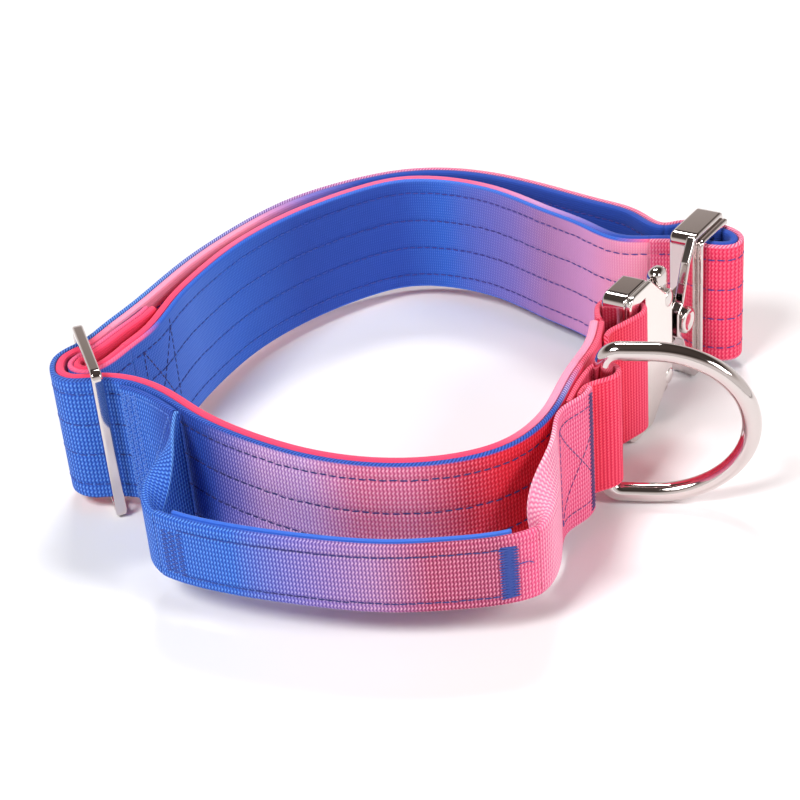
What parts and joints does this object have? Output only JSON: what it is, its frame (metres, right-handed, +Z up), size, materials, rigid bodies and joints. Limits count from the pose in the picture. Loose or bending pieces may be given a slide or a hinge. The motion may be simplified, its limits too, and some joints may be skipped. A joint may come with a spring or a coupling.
{
  "type": "dog collar",
  "caption": "Wide two-ply webbing dog collar with a grab handle, a leash D-ring, a tri-glide slider and a quick-release metal buckle with two spring clips.",
  "frame": {"origin": "under the middle of the collar's box, on the surface the collar stands on", "axes": "+Z up across the webbing's width, -Y towards the grab handle, +X towards the D-ring and buckle"},
  "size_m": [0.2592, 0.2504, 0.0644],
  "materials": {
    "webbing_gradient": "ribbed woven webbing, blue to red-pink",
    "webbing_blue": "ribbed woven webbing",
    "webbing_pink": "ribbed woven webbing",
    "lining_gradient": "smooth padded webbing, hot pink to blue",
    "lining_pink": "smooth padded webbing",
    "lining_blue": "smooth padded webbing",
    "polished_metal": "polished warm nickel",
    "plate_metal": "polished, slightly warmer",
    "rivet_metal": "polished",
    "spring_steel": "plain"
  },
  "bodies": {
    "collar": {"front_webbing": "webbing_gradient", "front_lining": "lining_gradient", "slider_turn_webbing": "webbing_blue", "slider_turn_lining": "lining_pink", "back_outer_webbing": "webbing_gradient", "back_outer_lining": "lining_gradient", "back_inner_webbing": "webbing_gradient", "back_inner_lining": "lining_gradient", "slider_tail_webbing": "webbing_blue", "slider_tail_lining": "lining_pink", "female_loop_webbing": "webbing_pink", "ring_keeper_webbing": "webbing_pink", "handle_left_patch": "webbing_blue", "handle_left_flare": "webbing_blue", "handle_right_end": "webbing_pink", "grip_webbing": "webbing_gradient", "grip_lining": "lining_gradient", "female_housing": "polished_metal", "female_face_plate": "plate_metal", "upper_pivot_rivet": "rivet_metal", "lower_pivot_rivet": "rivet_metal", "upper_clip_spring": "spring_steel", "lower_clip_spring": "spring_steel"},
    "slider": {"slider_frame": "polished_metal", "slider_bar": "polished_metal"},
    "d_ring": {"d_ring": "polished_metal"},
    "male_half": {"male_frame": "polished_metal", "male_tongue": "polished_metal", "male_centre_rivet": "rivet_metal", "male_turn_webbing": "webbing_pink", "male_turn_lining": "lining_blue"},
    "upper_clip": {"upper_clip": "polished_metal"},
    "lower_clip": {"lower_clip": "polished_metal"}
  },
  "joints": [
    {"name": "d_ring_swing", "type": "hinge", "parent": "collar", "child": "d_ring", "pos_m": [0.063, -0.0521, 0.0324], "axis": [0, 0, 1], "range_deg": [-70, 58]},
    {"name": "slider_tilt", "type": "hinge", "parent": "collar", "child": "slider", "pos_m": [-0.1164, -0.0167, 0.0305], "axis": [0, 0, 1], "range_deg": [-1, 12]},
    {"name": "buckle_release", "type": "slide", "parent": "collar", "child": "male_half", "axis": [0.5793, 0.8151, 0], "range_m": [0, 0.006]},
    {"name": "upper_clip_press", "type": "hinge", "parent": "collar", "child": "upper_clip", "pos_m": [0.09046, 0.00957, 0.047], "axis": [-0.8151, 0.5793, 0], "range_deg": [0, 12], "deforming": ["upper_clip_spring"]},
    {"name": "lower_clip_press", "type": "hinge", "parent": "collar", "child": "lower_clip", "pos_m": [0.09046, 0.00957, 0.014], "axis": [0.8151, -0.5793, 0], "range_deg": [0, 12], "deforming": ["lower_clip_spring"]}
  ],
  "couplings": [
    {"joint": "upper_clip_press", "follows": "buckle_release", "rad_per_m": 34.9},
    {"joint": "lower_clip_press", "follows": "buckle_release", "rad_per_m": 34.9}
  ]
}
